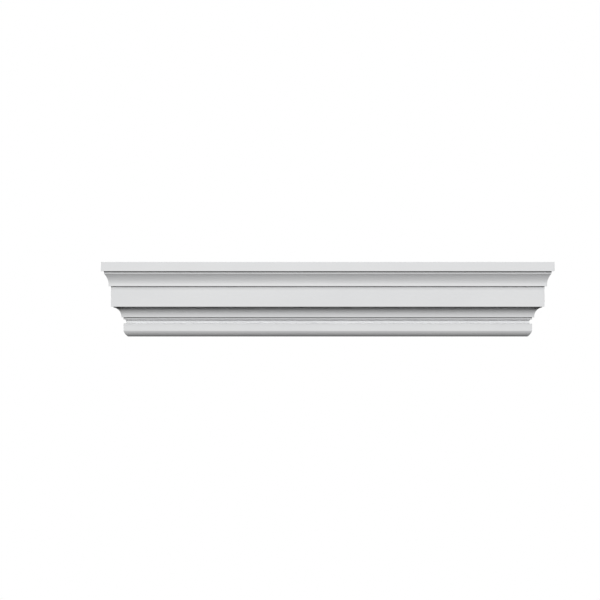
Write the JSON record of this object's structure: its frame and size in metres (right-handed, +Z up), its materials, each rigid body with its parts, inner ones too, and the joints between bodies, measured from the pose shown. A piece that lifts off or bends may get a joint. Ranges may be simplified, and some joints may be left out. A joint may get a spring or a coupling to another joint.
{
  "type": "crosshead moulding",
  "caption": "Straight crosshead moulding with mitred, returned ends: flat crown band, cavetto, plain frieze, cove, and a grooved base strip with a rounded lower edge.",
  "frame": {"origin": "centre of the flat back face, in the plane of the wall", "axes": "+X along the moulding, +Y into the wall, +Z up; the front faces -Y"},
  "size_m": [1.3906, 0.0857, 0.2286],
  "materials": {
    "primed_polyurethane": "smooth white factory primer, low sheen"
  },
  "bodies": {
    "root": {"crosshead_moulding": "primed_polyurethane"}
  },
  "joints": []
}
